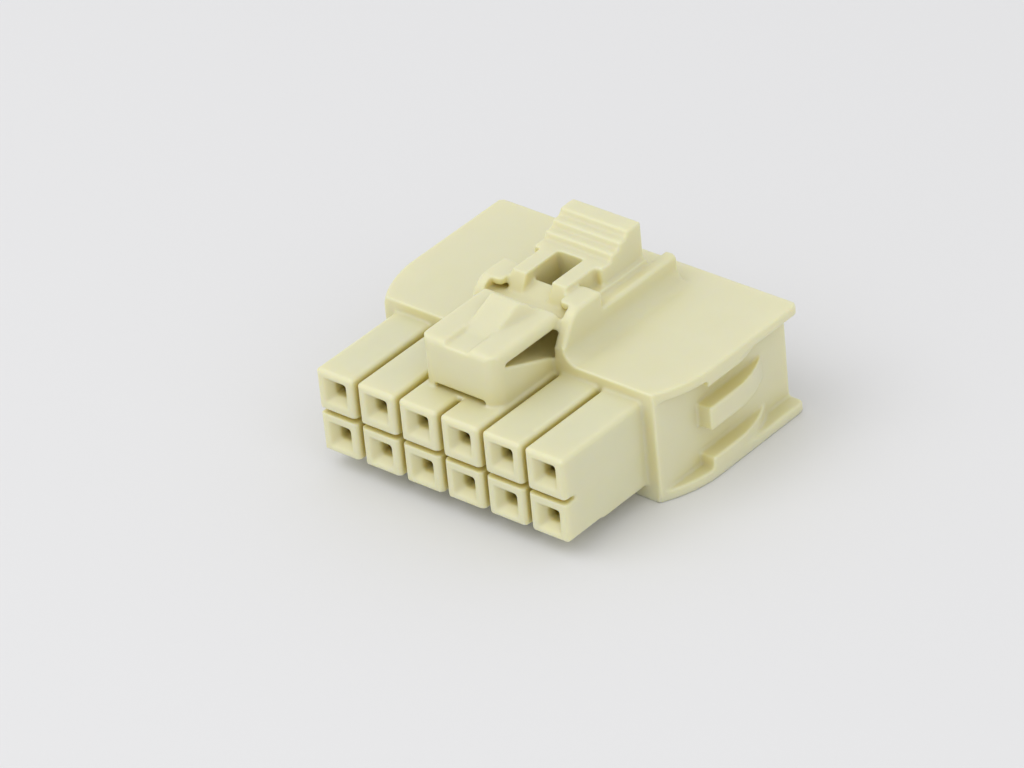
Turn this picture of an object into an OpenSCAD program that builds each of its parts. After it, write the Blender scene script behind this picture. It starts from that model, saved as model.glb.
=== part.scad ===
// Two-row wire-to-board connector housing, moulded in one piece.
// X runs along the contact rows, Y from the mating face back to the wires, Z up.
// The origin is the middle of the mating face, between the two rows.

/* [Contact grid] */
// Contacts in each of the two rows
columns = 6; // [4:2:10]
// Spacing of the contacts along a row
column_pitch = 3.5; // [3.3:0.1:5]
// Spacing of the two rows
row_pitch = 3.4; // [3.2:0.1:5]

/* [Mating towers] */
// Length of the towers in front of the rear block
tower_length = 8.1; // [6:0.1:12]
// Open slot between neighbouring towers
tower_slot = 0.35; // [0.25:0.05:0.8]
// Gap between the two rows at the mating face
row_gap = 0.4; // [0.3:0.05:0.9]
// Depth at which the gap between the rows has run out
row_gap_depth = 2.7; // [1.5:0.1:4]
// Corner radius of a tower seen from the front
tower_corner = 0.3; // [0.1:0.05:0.5]
// Bevel around the front of a tower
tower_bevel = 0.2; // [0.1:0.05:0.3]
// Height of the relief under the front of the lower towers
toe_relief = 0.22; // [0.1:0.02:0.4]
// Length of that relief
toe_length = 3.5; // [2:0.1:5]

/* [Contact passages] */
// Width of a pin entry at the mating face
entry_w = 1.95; // [1.4:0.05:2.2]
// Depth of the tapered pin entry
entry_depth = 0.6; // [0.3:0.05:1]
// Side of the square pin hole
pin_hole = 0.95; // [0.6:0.05:1.2]
// Length of the pin hole
pin_hole_length = 0.8; // [0.5:0.05:1.5]
// Side of the terminal cavity inside a tower
cavity_w = 2.1; // [1.6:0.05:2.2]
// Side of the wire cavity in the rear block
wire_cavity_w = 2.5; // [2.2:0.05:2.7]
// Depth of the wire cavity from the rear face
wire_cavity_depth = 10; // [6:0.5:12]
// Flare around each wire cavity at the rear face
wire_flare = 0.25; // [0.1:0.05:0.3]

/* [Rear block] */
// Length of the block behind the towers
block_length = 13.7; // [12.5:0.1:20]
// Step from the end towers out to the block's side wall
side_step = 1.0; // [0.6:0.1:2]
// Rise from the tower tops to the upper face of the top plate
deck_rise = 0.8; // [0.8:0.05:1.5]
// Drop from the tower bottoms to the resting face
base_drop = 1.15; // [0.9:0.05:2]
// Thickness of the top and bottom plates
plate_t = 0.8; // [0.5:0.05:1.2]
// Reach of the plates past the side walls
plate_overhang = 1.2; // [0.8:0.1:2]
// Radius of the plates' swept front corners
sweep_r = 9; // [6:0.5:10]
// Length of the swept corners
sweep_length = 4.8; // [3:0.1:5.5]
// Corner radius at the rear of the plates
plate_corner = 0.4; // [0.2:0.1:1]

/* [Grip fins] */
// Distance of the fins behind the front of the plates
fin_setback = 4.2; // [2:0.1:5]
// Straight length of the fins before they sweep back to the wall
fin_straight = 1.8; // [1:0.1:3]
// Thickness of the upper fin under the top plate
upper_fin_t = 0.45; // [0.3:0.05:0.8]
// Thickness of the middle fin
middle_fin_t = 1.7; // [1.2:0.1:2]
// Height of the middle fin's middle above the row centre
middle_fin_z = 0.25; // [-0.3:0.05:0.4]
// Thickness of the lower fin on the bottom plate
lower_fin_t = 0.85; // [0.5:0.05:1.2]

/* [Latch] */
// Width of the latch beam
latch_w = 6.3; // [5:0.1:6.4]
// Distance of the latch root behind the mating face
latch_setback = 2.4; // [1.5:0.1:3]
// Height of the beam's top over the tower tops
latch_rise = 3.8; // [3.4:0.1:4.5]
// Thickness of the beam
latch_t = 0.95; // [0.7:0.05:1.1]
// Corner radius of the latch root seen from above
latch_corner = 1.0; // [0.5:0.1:1.3]
// Radius along the upper edges of the beam
latch_edge = 0.45; // [0.2:0.05:0.6]
// Thickness of the latch root at the beam
root_t = 0.7; // [0.5:0.1:1.2]
// Width of the tunnel under the latch root
tunnel_w = 4.2; // [3:0.1:4.6]
// Height of that tunnel
tunnel_h = 0.35; // [0.2:0.05:0.6]

/* [Latch catch] */
// Width of the catch's ramp
catch_w = 2.3; // [1.8:0.1:3]
// Slope of the catch's sides from upright, in degrees
catch_draft = 30; // [10:5:35]
// Height of the catch over the beam
catch_h = 0.9; // [0.5:0.05:1.2]
// Distance of the catch's toe behind the latch root
catch_setback = 2.7; // [2.2:0.1:3]
// Length of the catch's ramp
catch_ramp = 2.3; // [2:0.1:3]
// Length of the catch's flat top
catch_top = 0.3; // [0.2:0.05:0.6]
// Length of the catch's hollow rear flank
catch_flank = 1.3; // [1:0.1:2]
// Width of the groove from the front of the beam to the catch
groove_w = 2.1; // [1.4:0.1:2.6]
// Depth of that groove
groove_depth = 0.25; // [0.1:0.05:0.4]

/* [Thumb pad] */
// Drop of the beam's top behind the catch
valley_drop = 0.7; // [0.3:0.05:0.9]
// Distance of the raised deck's foot behind the latch root
raised_setback = 7.9; // [7.5:0.1:8.5]
// Backward lean of the raised deck's front
raised_lean = 0.7; // [0.3:0.1:1]
// Height of the raised deck over the beam's front
raised_h = 0.6; // [0.4:0.05:1]
// Width of the raised deck
raised_w = 4.56; // [4:0.02:5]
// Width of the window in the deck
window_w = 2.1; // [1.2:0.1:2.6]
// Length of the window
window_length = 2.6; // [1.5:0.1:3]
// Length of the deck in front of the window
window_setback = 1.4; // [1.2:0.1:2]
// Width of the thumb pad
pad_w = 5.7; // [5:0.1:6]
// Height of the pad over the beam's front
pad_h = 2.0; // [1.6:0.1:2.6]
// Grip steps up to the pad
pad_steps = 3; // [2:1:4]
// Length of one grip step
step_length = 0.84; // [0.6:0.02:1]
// Length of the sloping riser in each grip step
riser_length = 0.21; // [0.1:0.01:0.4]
// Length of the flat top of the pad
pad_top = 1.35; // [1:0.05:2]

/* [Guard walls] */
// Gap between the latch and each guard wall
guard_gap = 0.15; // [0.1:0.05:0.4]
// Thickness of a guard wall
guard_t = 0.8; // [0.6:0.05:1.2]
// Length of the guard walls
guard_length = 11.9; // [11:0.1:12.5]
// Height of the guard walls over the top plate
guard_h = 1.95; // [1.8:0.05:2.6]
// Height of their raised front part over the top plate
guard_front_h = 3.2; // [3.1:0.05:4]
// Length of the raised front part
guard_front_length = 4.2; // [4:0.05:5]
// Radius of the rounded front of a guard wall
guard_nose_r = 1.6; // [1:0.1:1.9]
// Setback of that rounding from the front of the block
guard_lean = 0.7; // [0.3:0.05:1]
// Height of the upright foot of a guard wall's front
guard_foot_h = 0.9; // [0.4:0.1:1.2]
// Radius along the outer edges of a guard wall
guard_edge = 0.25; // [0.1:0.05:0.4]
// Fillet between a guard wall and the top plate
guard_fillet = 1.1; // [0.5:0.1:1.4]
// Length of the stop tabs over the beam
tab_length = 2.3; // [1.6:0.1:2.6]
// Thickness of the stop tabs
tab_t = 0.52; // [0.4:0.02:0.8]
// Overlap of the stop tabs over the beam's shoulders
tab_reach = 0.75; // [0.4:0.05:0.8]
// Corner radius of the stop tabs
tab_corner = 0.35; // [0.2:0.05:0.7]

/* [Hidden] */
$fn = 96;

// How far a solid is sunk into the one that carries it, and a cut runs past a face
sink = 0.4;
past = 1;

// Towers and rear block
tower_w = column_pitch - tower_slot;
tower_h = row_pitch - row_gap;
tower_top = (row_pitch + tower_h) / 2;
row_centres = [-row_pitch / 2, row_pitch / 2];
column_centres = [for (i = [0 : columns - 1]) (i - (columns - 1) / 2) * column_pitch];
towers_half_w = max(column_centres) + tower_w / 2;
block_half_w = towers_half_w + side_step;
plate_half_w = block_half_w + plate_overhang;
block_front = tower_length;
block_rear = tower_length + block_length;
deck_z = tower_top + deck_rise;
base_z = -tower_top - base_drop;
deck_under_z = deck_z - plate_t;
base_over_z = base_z + plate_t;

// Middle of the swept corner on the right
sweep_x = plate_half_w - sweep_r;
sweep_y = block_front + sweep_length;

// Latch, in the plane of symmetry
beam_z = tower_top + latch_rise;
valley_z = beam_z - valley_drop;
latch_front = latch_setback;
root_rear = latch_front + root_t;
catch_front = latch_front + catch_setback;
catch_top_front = catch_front + catch_ramp;
catch_top_rear = catch_top_front + catch_top;
catch_rear = catch_top_rear + catch_flank;
raised_front = latch_front + raised_setback;
window_front = raised_front + window_setback;
window_rear = window_front + window_length;
pad_front = window_rear;
pad_top_front = pad_front + pad_steps * step_length;
latch_rear = pad_top_front + pad_top;

// Guard walls
guard_inner = latch_w / 2 + guard_gap;
guard_outer = guard_inner + guard_t;
guard_top = deck_z + guard_front_h;
guard_rear = block_front + guard_length;
guard_step_y = block_front + guard_front_length;
tab_inner = latch_w / 2 - tab_reach;

// Extrudes a side outline, drawn as [y, z], across the width w about the middle
module across(w) rotate([90, 0, 90]) linear_extrude(w, center = true) children();

// Extrudes a front outline, drawn as [x, z], from y0 back to y1
module back(y0, y1) translate([0, y1, 0]) rotate([90, 0, 0]) linear_extrude(y1 - y0) children();

// Extrudes a plan outline, drawn as [x, y], from z0 up to z1
module up(z0, z1) translate([0, 0, z0]) linear_extrude(z1 - z0) children();

// A rectangle from one corner to the other
module span(low, high) translate(low) square(high - low);

// A rectangle about the origin with round corners
module rounded(w, h, r) {
    square([w - 2 * r, h], center = true);
    square([w, h - 2 * r], center = true);
    for (x = [-1, 1], y = [-1, 1])
        translate([x * (w / 2 - r), y * (h / 2 - r)]) circle(r);
}

// What is taken off an outline to round its upper right corner
module corner_cut(corner, r) {
    difference() {
        span(corner - [r, r], corner + [past, past]);
        translate(corner - [r, r]) circle(r);
    }
}

// Draws its children on the right and mirrored on the left
module both_sides() {
    children();
    mirror([1, 0, 0]) children();
}

// ---------------------------------------------------------------- towers

module tower_plan() {
    half = tower_w / 2;
    for (x = column_centres)
        translate([x, 0])
            polygon([[-half + tower_bevel, 0], [half - tower_bevel, 0], [half, tower_bevel],
                     [half, block_front + sink], [-half, block_front + sink], [-half, tower_bevel]]);
}

module tower_side() {
    gap_half = row_gap / 2;
    difference() {
        polygon([[0, tower_bevel - tower_top], [tower_bevel, toe_relief - tower_top],
                 [toe_length, toe_relief - tower_top], [toe_length, -tower_top],
                 [block_front + sink, -tower_top], [block_front + sink, tower_top],
                 [tower_bevel, tower_top], [0, tower_top - tower_bevel]]);
        polygon([[-past, -gap_half], [0, -gap_half], [row_gap_depth, -gap_half / 2],
                 [0, gap_half], [-past, gap_half]]);
    }
}

module towers() {
    intersection() {
        up(-tower_top, tower_top) tower_plan();
        across(2 * towers_half_w) tower_side();
        back(0, block_front + sink)
            for (x = column_centres)
                translate([x, 0]) rounded(tower_w, 2 * tower_top, tower_corner);
    }
}

// Outline of a contact passage along its axis: pin entry, pin hole, terminal and wire cavities
function passage_half() = let (
        hole_y = entry_depth + pin_hole_length,
        wire_y = block_rear - wire_cavity_depth)
    [[entry_w / 2, -past], [entry_w / 2, 0], [pin_hole / 2, entry_depth], [pin_hole / 2, hole_y],
     [cavity_w / 2, hole_y], [cavity_w / 2, wire_y], [wire_cavity_w / 2, wire_y],
     [wire_cavity_w / 2, block_rear - wire_flare], [wire_cavity_w / 2 + wire_flare, block_rear],
     [wire_cavity_w / 2 + wire_flare, block_rear + past]];

// The same outline whole, and with its axes swapped for a side view
function passage() = let (half = passage_half(), n = len(half))
    concat(half, [for (i = [n - 1 : -1 : 0]) [-half[i][0], half[i][1]]]);
function swapped(points) = [for (p = points) [p[1], p[0]]];

// All passages at once: where the columns seen from above meet the rows seen from the side
module passages() {
    intersection() {
        up(base_z, deck_z) for (x = column_centres) translate([x, 0]) polygon(passage());
        across(2 * block_half_w) for (z = row_centres) translate([0, z]) polygon(swapped(passage()));
    }
}

// ---------------------------------------------------------------- rear block

module plate_plan() {
    difference() {
        intersection() {
            span([-plate_half_w, block_front], [plate_half_w, block_rear]);
            both_sides() {
                translate([sweep_x, sweep_y]) circle(sweep_r);
                span([-sink, sweep_y], [plate_half_w, block_rear]);
                span([-sink, block_front], [max(sweep_x, sink), block_rear]);
            }
        }
        both_sides() corner_cut([plate_half_w, block_rear], plate_corner);
    }
}

module fin_plan() {
    both_sides()
        intersection() {
            span([block_half_w - sink, block_front + fin_setback], [plate_half_w, block_rear]);
            union() {
                translate([sweep_x, sweep_y]) circle(sweep_r);
                translate([sweep_x, sweep_y + fin_straight]) circle(sweep_r);
                span([sweep_x, sweep_y], [plate_half_w, sweep_y + fin_straight]);
            }
        }
}

module rear_block() {
    in_plate = plate_t / 2;
    middle_fin_low = middle_fin_z - middle_fin_t / 2;
    up(base_z + in_plate, deck_z - in_plate)
        span([-block_half_w, block_front], [block_half_w, block_rear]);
    up(base_z, base_over_z) plate_plan();
    up(deck_under_z, deck_z) plate_plan();
    up(base_over_z - in_plate, base_over_z + lower_fin_t) fin_plan();
    up(middle_fin_low, middle_fin_low + middle_fin_t) fin_plan();
    up(deck_under_z - upper_fin_t, deck_under_z + in_plate) fin_plan();
}

// ---------------------------------------------------------------- guard walls

// Plan outline of a wall's front end, drawn from 0 back to the depth
module guard_end(depth) {
    difference() {
        span([guard_inner, 0], [guard_outer, depth]);
        mirror([0, 1]) corner_cut([guard_outer, 0], guard_edge);
    }
}

// Front outline of a wall up to the height top
module guard_section(top) {
    difference() {
        span([guard_inner, deck_z - sink], [guard_outer, top]);
        corner_cut([guard_outer, top], guard_edge);
    }
}

// Round nose of a wall about its own middle
module guard_nose() {
    rotate([0, 90, 0])
        rotate_extrude()
            difference() {
                span([0, guard_inner], [guard_nose_r, guard_outer]);
                corner_cut([guard_nose_r, guard_outer], guard_edge);
            }
}

// One wall on the right: an upright foot, a face that leans back from it into the round nose,
// and the straight part with its raised front
module guard() {
    nose = [block_front + guard_lean + guard_nose_r, guard_top - guard_nose_r];
    foot = [block_front, deck_z + guard_foot_h];
    reach = norm(nose - foot);
    slope = atan2(nose.y - foot.y, nose.x - foot.x) + asin(guard_nose_r / reach);
    face = sqrt(reach * reach - guard_nose_r * guard_nose_r);
    translate([0, block_front, 0]) up(deck_z - sink, foot.y) guard_end(nose.x - block_front);
    translate([0, foot.x, foot.y])
        rotate([slope - 90, 0, 0]) linear_extrude(face) guard_end(guard_nose_r);
    translate([0, nose.x, nose.y]) guard_nose();
    back(nose.x, guard_step_y) guard_section(guard_top);
    back(nose.x, guard_rear) guard_section(deck_z + guard_h);
}

// Hollow fillet at the foot of a wall whose outer face is at x
module foot_fillet(x, r) {
    difference() {
        span([x - sink / 2, deck_z - sink], [x + r, deck_z + r]);
        translate([x + r, deck_z + r]) circle(r);
    }
}

module stop_tab() {
    tab_outer = guard_outer - guard_edge;
    up(guard_top - tab_t, guard_top)
        translate([(tab_inner + tab_outer) / 2, guard_step_y - tab_length / 2])
            rounded(tab_outer - tab_inner, tab_length, tab_corner);
}

module guard_walls() {
    both_sides() {
        guard();
        back(block_front, guard_rear) foot_fillet(guard_outer, guard_fillet);
        stop_tab();
    }
}

// ---------------------------------------------------------------- latch

// Side outline of the springy front of the beam with its root on the towers
module spring_side() {
    polygon([[latch_front, tower_top - sink], [latch_front, beam_z], [catch_rear, beam_z],
             [catch_rear, beam_z - latch_t], [root_rear, beam_z - latch_t],
             [block_front + sink, deck_z], [block_front + sink, tower_top - sink]]);
}

// Side outline of the slope from the springy part down to the lever
module slope_side() {
    difference() {
        span([catch_rear - sink, valley_z - sink], [catch_rear + valley_drop, beam_z]);
        translate([catch_rear + valley_drop, beam_z]) circle(valley_drop);
    }
}

// Side outline of the groove, which runs out along the catch's ramp
module groove_side() {
    floor_z = beam_z - groove_depth;
    ramp_foot = catch_front - groove_depth * catch_ramp / catch_h;
    polygon([[latch_front - past, floor_z], [ramp_foot, floor_z], [catch_front, beam_z],
             [catch_front, beam_z + past], [latch_front - past, beam_z + past]]);
}

module spring() {
    difference() {
        across(latch_w) {
            spring_side();
            slope_side();
        }
        up(tower_top - sink, beam_z + past)
            both_sides() mirror([0, 1]) corner_cut([latch_w / 2, -latch_front], latch_corner);
        back(latch_front - past, catch_rear + valley_drop)
            both_sides() corner_cut([latch_w / 2, beam_z], latch_edge);
        across(latch_w + past)
            translate([latch_front, 0]) mirror([1, 0]) corner_cut([0, beam_z], latch_edge);
        across(groove_w) groove_side();
    }
}

module catch_side() {
    difference() {
        polygon([[catch_front, beam_z - sink], [catch_front, beam_z], [catch_top_front, beam_z + catch_h],
                 [catch_top_rear, beam_z + catch_h], [catch_rear, beam_z], [catch_rear, beam_z - sink]]);
        translate([catch_rear, beam_z + catch_h]) circle(catch_h);
    }
}

// Section of the catch square to its ramp, which lies at height 0: the sides spread downwards
module catch_section() {
    down = catch_ramp;
    spread = down * tan(catch_draft);
    narrowing = past * tan(catch_draft);
    polygon([[-catch_w / 2 - spread, -down], [catch_w / 2 + spread, -down],
             [catch_w / 2 - narrowing, past], [narrowing - catch_w / 2, past]]);
}

module latch_catch() {
    intersection() {
        across(latch_w) catch_side();
        translate([0, catch_front, beam_z])
            rotate([atan2(catch_h, catch_ramp), 0, 0])
                back(-past, catch_rear - catch_front + past) catch_section();
    }
}

// Side outline of the beam from the foot of the catch's flank back to its free end
module lever_side() {
    under_z = valley_z - latch_t;
    polygon([[catch_rear - sink, beam_z - latch_t], [catch_rear - sink, valley_z],
             [latch_rear, valley_z], [latch_rear, under_z], [catch_rear + valley_drop, under_z]]);
}

module raised_side() {
    polygon([[raised_front, valley_z - sink], [raised_front, valley_z],
             [raised_front + raised_lean, beam_z + raised_h],
             [pad_front, beam_z + raised_h], [pad_front, valley_z - sink]]);
}

// Side outline of the channel between the deck's front and the window
module channel_side() {
    polygon([[raised_front - past, valley_z], [raised_front, valley_z], [window_front + sink, beam_z],
             [window_front + sink, beam_z + pad_h], [raised_front - past, beam_z + pad_h]]);
}

// Stepped side outline of the thumb pad
module pad_side() {
    rise = (pad_h - raised_h) / pad_steps;
    tread = step_length - riser_length;
    steps = [for (i = [0 : pad_steps - 1])
        let (y = pad_front + i * step_length, z = beam_z + raised_h + i * rise)
            each [[y, z], [y + tread, z], [y + step_length, z + rise]]];
    polygon(concat([[pad_front - sink, valley_z - sink], [pad_front - sink, beam_z + raised_h]], steps,
                   [[latch_rear, beam_z + pad_h], [latch_rear, valley_z - sink]]));
}

module lever() {
    difference() {
        union() {
            across(latch_w) lever_side();
            across(raised_w) raised_side();
            across(pad_w) pad_side();
        }
        across(window_w) channel_side();
        // Window through the deck
        up(tower_top, beam_z + pad_h)
            span([-window_w / 2, window_front], [window_w / 2, window_rear]);
    }
}

module latch() {
    spring();
    latch_catch();
    lever();
}

// Tunnel between the latch root and the towers
module tunnel() {
    up(tower_top, tower_top + tunnel_h)
        span([-tunnel_w / 2, latch_front - past], [tunnel_w / 2, block_front]);
}

// ---------------------------------------------------------------- housing

module housing() {
    color("lightyellow")
        difference() {
            union() {
                towers();
                rear_block();
                guard_walls();
                latch();
            }
            passages();
            tunnel();
        }
}

housing();
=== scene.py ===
import math

import bpy
from mathutils import Matrix, Vector


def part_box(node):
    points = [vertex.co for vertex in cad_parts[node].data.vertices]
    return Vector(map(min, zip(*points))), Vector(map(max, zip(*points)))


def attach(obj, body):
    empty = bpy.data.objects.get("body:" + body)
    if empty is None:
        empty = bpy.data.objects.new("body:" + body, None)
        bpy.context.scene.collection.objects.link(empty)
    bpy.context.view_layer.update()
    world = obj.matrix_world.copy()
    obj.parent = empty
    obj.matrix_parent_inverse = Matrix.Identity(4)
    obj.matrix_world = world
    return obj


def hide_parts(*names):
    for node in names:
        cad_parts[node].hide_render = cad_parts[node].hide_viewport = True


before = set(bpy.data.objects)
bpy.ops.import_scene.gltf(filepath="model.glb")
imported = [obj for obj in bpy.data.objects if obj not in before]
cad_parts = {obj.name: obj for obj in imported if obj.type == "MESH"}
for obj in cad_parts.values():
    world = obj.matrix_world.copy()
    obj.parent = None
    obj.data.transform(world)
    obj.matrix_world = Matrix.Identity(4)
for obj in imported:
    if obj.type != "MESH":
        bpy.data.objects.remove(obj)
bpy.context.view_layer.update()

MM = 0.001

# Viewpoint
VIEW_AZIMUTH = 42.54
VIEW_ELEVATION = 32.85
VIEW_ROLL = -5.81
VIEW_DISTANCE = 398.74 * MM
VIEW_AIM = Vector((-0.94, 8.43, 0.50)) * MM
VIEW_LENS = 215.58
VIEW_NEAR = 10 * MM

# The moulding's skin, in millimetres
SKIN_VOXEL = 0.11
SKIN_SMOOTHING = 4
SKIN_SMOOTHING_SHARE = 0.5
SKIN_TRIANGLES = 190000

# Unpigmented nylon where it is thin and lit, its faint clouds, and the painted shade deep in a hollow: a
# darker, deeper yellow painted where ambient occlusion finds the surface hemmed in
NYLON = (0.74, 0.72, 0.50)
NYLON_CLOUD = (0.71, 0.69, 0.45)
NYLON_PAINTED_SHADE = (0.62, 0.52, 0.12)
PAINTED_SHADE_REACH = 3.0 * MM
PAINTED_SHADE_SAMPLES = 12
PAINTED_SHADE_POWER = 1.5
CLOUD_SCALE = 0.35 / MM
CLOUD_DETAIL = 3.0
GRAIN_SCALE = 9 / MM
GRAIN_DETAIL = 2.0
GRAIN_HEIGHT = 0.004 * MM
GRAIN_STRENGTH = 0.5
NYLON_ROUGHNESS = 0.36
CLOUD_ROUGHNESS = 0.1
NYLON_IOR = 1.53
SCATTER_WEIGHT = 0.6
SCATTER_RADIUS = (1.0, 0.85, 0.35)
SCATTER_SCALE = 1.2 * MM

# Surroundings
FLOOR = (0.77, 0.77, 0.78)
FLOOR_ROUGHNESS = 0.6
FLOOR_SPECULAR = 0.2
FLOOR_HALF = 2.0
WHITE = (1, 1, 1)
BACKGROUND = (0.76, 0.76, 0.78)
BACKGROUND_RAYS = ("Is Camera Ray", "Is Glossy Ray", "Is Transmission Ray")
DAYLIGHT = 0.75
LAMP_DISTANCE = 0.6
LAMP_SIZE = 0.5


def direction(azimuth, elevation):
    """Points from the housing out towards an azimuth and elevation in degrees; 0, 0 is straight in front."""
    turn, rise = math.radians(azimuth), math.radians(elevation)
    return Vector((math.sin(turn) * math.cos(rise), -math.cos(turn) * math.cos(rise), math.sin(rise)))


# ---------------------------------------------------------------- shader expressions

class Value:
    """A number or colour of a finish. Numbers take part in sums, products and powers."""

    def __init__(self, finish, socket):
        self.finish = finish
        self.socket = socket

    def maths(self, operation, first, second):
        return self.finish.node("ShaderNodeMath", {"operation": operation}, {0: first, 1: second})

    def __add__(self, other):
        return self.maths("ADD", self, other)

    def __sub__(self, other):
        return self.maths("SUBTRACT", self, other)

    def __rsub__(self, other):
        return self.maths("SUBTRACT", other, self)

    def __mul__(self, other):
        return self.maths("MULTIPLY", self, other)

    def __pow__(self, other):
        return self.maths("POWER", self, other)

    __radd__ = __add__
    __rmul__ = __mul__


class Finish:
    """A material, or the surroundings, and the nodes it is made of."""

    def __init__(self, owner):
        owner.use_nodes = True
        self.owner = owner
        self.nodes = owner.node_tree.nodes
        self.links = owner.node_tree.links
        self.nodes.clear()

    def node(self, kind, settings=None, inputs=None, output=0):
        """Adds a node, makes its settings, then fills its sockets; gives back one of its outputs."""
        made = self.nodes.new(kind)
        for name, value in (settings or {}).items():
            setattr(made, name, value)
        for name, value in (inputs or {}).items():
            self.fill(made.inputs[name], value)
        return Value(self, made.outputs[output]) if made.outputs else made

    def fill(self, socket, value):
        if isinstance(value, Value):
            self.links.new(value.socket, socket)
        elif socket.type == "RGBA" and len(value) == 3:
            socket.default_value = (*value, 1)
        else:
            socket.default_value = value

    def blend(self, share, first, second):
        """A colour that goes from the first to the second as the share goes from 0 to 1."""
        return self.node("ShaderNodeMix", {"data_type": "RGBA"}, {0: share, 6: first, 7: second}, 2)

    def surface(self, shader, output="ShaderNodeOutputMaterial"):
        self.node(output, {}, {"Surface": shader})
        return self.owner


def natural_nylon():
    """Unpigmented nylon: milky, ivory where thin, with painted shade: a deeper yellow painted down in a
    hollow.
    """
    nylon = Finish(bpy.data.materials.new("natural_nylon"))
    place = nylon.node("ShaderNodeTexCoord", output="Object")
    clouds = nylon.node("ShaderNodeTexNoise", {},
                        {"Vector": place, "Scale": CLOUD_SCALE, "Detail": CLOUD_DETAIL})
    grain = nylon.node("ShaderNodeTexNoise", {},
                       {"Vector": place, "Scale": GRAIN_SCALE, "Detail": GRAIN_DETAIL})
    # Painted shade: ambient occlusion turns the colour a deeper, darker yellow in hollows and creases,
    # standing in for the shade that falls there
    openness = nylon.node("ShaderNodeAmbientOcclusion", {"samples": PAINTED_SHADE_SAMPLES, "only_local": True},
                          {"Distance": PAINTED_SHADE_REACH}, "AO")
    lit = nylon.blend(clouds, NYLON, NYLON_CLOUD)
    colour = nylon.blend((1 - openness) ** PAINTED_SHADE_POWER, lit, NYLON_PAINTED_SHADE)
    relief = nylon.node("ShaderNodeBump", {},
                        {"Strength": GRAIN_STRENGTH, "Distance": GRAIN_HEIGHT, "Height": grain})
    shader = nylon.node("ShaderNodeBsdfPrincipled", {}, {
        "Base Color": colour, "Roughness": NYLON_ROUGHNESS + CLOUD_ROUGHNESS * clouds,
        "IOR": NYLON_IOR, "Normal": relief, "Subsurface Weight": SCATTER_WEIGHT,
        "Subsurface Radius": SCATTER_RADIUS, "Subsurface Scale": SCATTER_SCALE})
    return nylon.surface(shader)


def table_paint():
    """The matt pale grey of the table."""
    paint = Finish(bpy.data.materials.new("table_top"))
    shader = paint.node("ShaderNodeBsdfPrincipled", {}, {
        "Base Color": FLOOR, "Roughness": FLOOR_ROUGHNESS, "Specular IOR Level": FLOOR_SPECULAR})
    return paint.surface(shader)


# ---------------------------------------------------------------- the moulding

def add_modifier(piece, kind, **settings):
    modifier = piece.modifiers.new(kind.lower(), kind)
    for name, value in settings.items():
        setattr(modifier, name, value)


def applied(piece):
    """The piece's mesh with its modifiers worked in."""
    bpy.context.view_layer.update()
    graph = bpy.context.evaluated_depsgraph_get()
    mesh = bpy.data.meshes.new_from_object(piece.evaluated_get(graph))
    piece.modifiers.clear()
    piece.data = mesh
    return mesh


def triangle_count(mesh):
    return sum(len(face.vertices) - 2 for face in mesh.polygons)


def moulded_skin(node_name, piece_name):
    """The solid's own surface with every edge and inner corner softened, as it comes out of the mould."""
    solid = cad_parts[node_name]
    piece = bpy.data.objects.new(piece_name, solid.data.copy())
    bpy.context.scene.collection.objects.link(piece)
    piece.data.transform(Matrix.Scale(1 / MM, 4))
    add_modifier(piece, "REMESH", mode="VOXEL", voxel_size=SKIN_VOXEL, use_smooth_shade=True)
    add_modifier(piece, "SMOOTH", factor=SKIN_SMOOTHING_SHARE, iterations=SKIN_SMOOTHING)
    mesh = applied(piece)
    add_modifier(piece, "DECIMATE", ratio=min(1, SKIN_TRIANGLES / triangle_count(mesh)))
    mesh = applied(piece)
    mesh.transform(Matrix.Scale(MM, 4))
    mesh.shade_smooth()
    return piece


# ---------------------------------------------------------------- surroundings

def floor():
    """A plain pale table under the housing's resting face."""
    low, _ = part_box("housing")
    bpy.ops.mesh.primitive_plane_add(size=2 * FLOOR_HALF, location=(0, 0, low.z))
    table = bpy.context.object
    table.name = "table"
    table.data.materials.append(table_paint())


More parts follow.
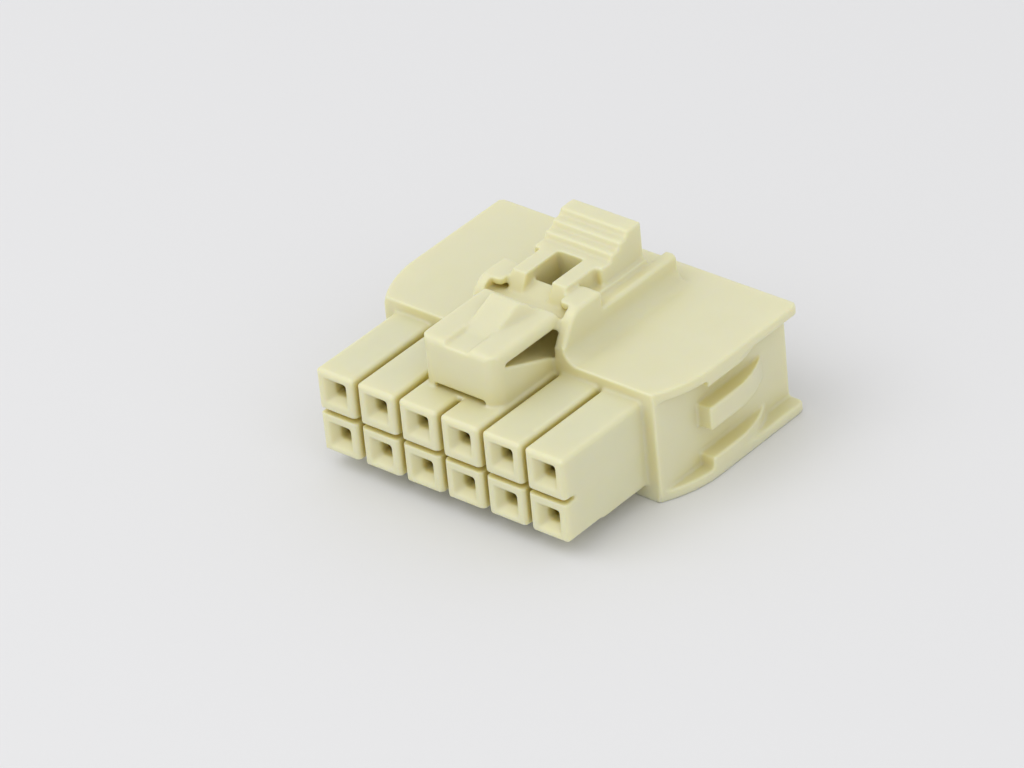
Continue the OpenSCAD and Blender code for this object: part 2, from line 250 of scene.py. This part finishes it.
def lamp(name, azimuth, elevation, power):
    """A square soft lamp aimed at the housing from the given direction."""
    low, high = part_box("housing")
    outward = direction(azimuth, elevation)
    light = bpy.data.lights.new(name, "AREA")
    light.size = LAMP_SIZE
    light.energy = power
    item = bpy.data.objects.new(name, light)
    item.location = (low + high) / 2 + LAMP_DISTANCE * outward
    item.rotation_euler = outward.to_track_quat("Z", "Y").to_euler()
    bpy.context.scene.collection.objects.link(item)


def daylight():
    """Even light from all round, and a pale background for the camera, in gloss and through glass."""
    sky = Finish(bpy.data.worlds.new("studio"))
    in_view, in_gloss, through_glass = (
        sky.node("ShaderNodeLightPath", output=ray) for ray in BACKGROUND_RAYS)
    light = sky.node("ShaderNodeBackground", {}, {"Color": WHITE, "Strength": DAYLIGHT})
    backdrop = sky.node("ShaderNodeBackground", {}, {"Color": BACKGROUND})
    mixed = sky.node("ShaderNodeMixShader", {},
                     {0: in_view + in_gloss + through_glass, 1: light, 2: backdrop})
    bpy.context.scene.world = sky.surface(mixed, "ShaderNodeOutputWorld")


def camera():
    """Looks down on the mating end from its right-hand corner, a little tilted."""
    outward = direction(VIEW_AZIMUTH, VIEW_ELEVATION)
    turn, roll = math.radians(VIEW_AZIMUTH), math.radians(VIEW_ROLL)
    right = Vector((math.cos(turn), math.sin(turn), 0))
    up = outward.cross(right)
    axes = Matrix((math.cos(roll) * right + math.sin(roll) * up,
                   math.cos(roll) * up - math.sin(roll) * right, outward)).transposed()
    lens = bpy.data.cameras.new("camera")
    lens.lens = VIEW_LENS
    lens.clip_start = VIEW_NEAR
    item = bpy.data.objects.new("camera", lens)
    item.matrix_world = Matrix.Translation(VIEW_AIM + VIEW_DISTANCE * outward) @ axes.to_4x4()
    bpy.context.scene.collection.objects.link(item)
    bpy.context.scene.camera = item


camera()
daylight()
lamp("window_light", azimuth=-35, elevation=55, power=1.2)
lamp("fill_light", azimuth=70, elevation=35, power=0.5)
floor()

housing = moulded_skin("housing", "housing_skin")
housing.data.materials.clear()
housing.data.materials.append(natural_nylon())
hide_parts("housing")
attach(housing, "root")

bpy.context.scene.view_settings.view_transform = "Standard"
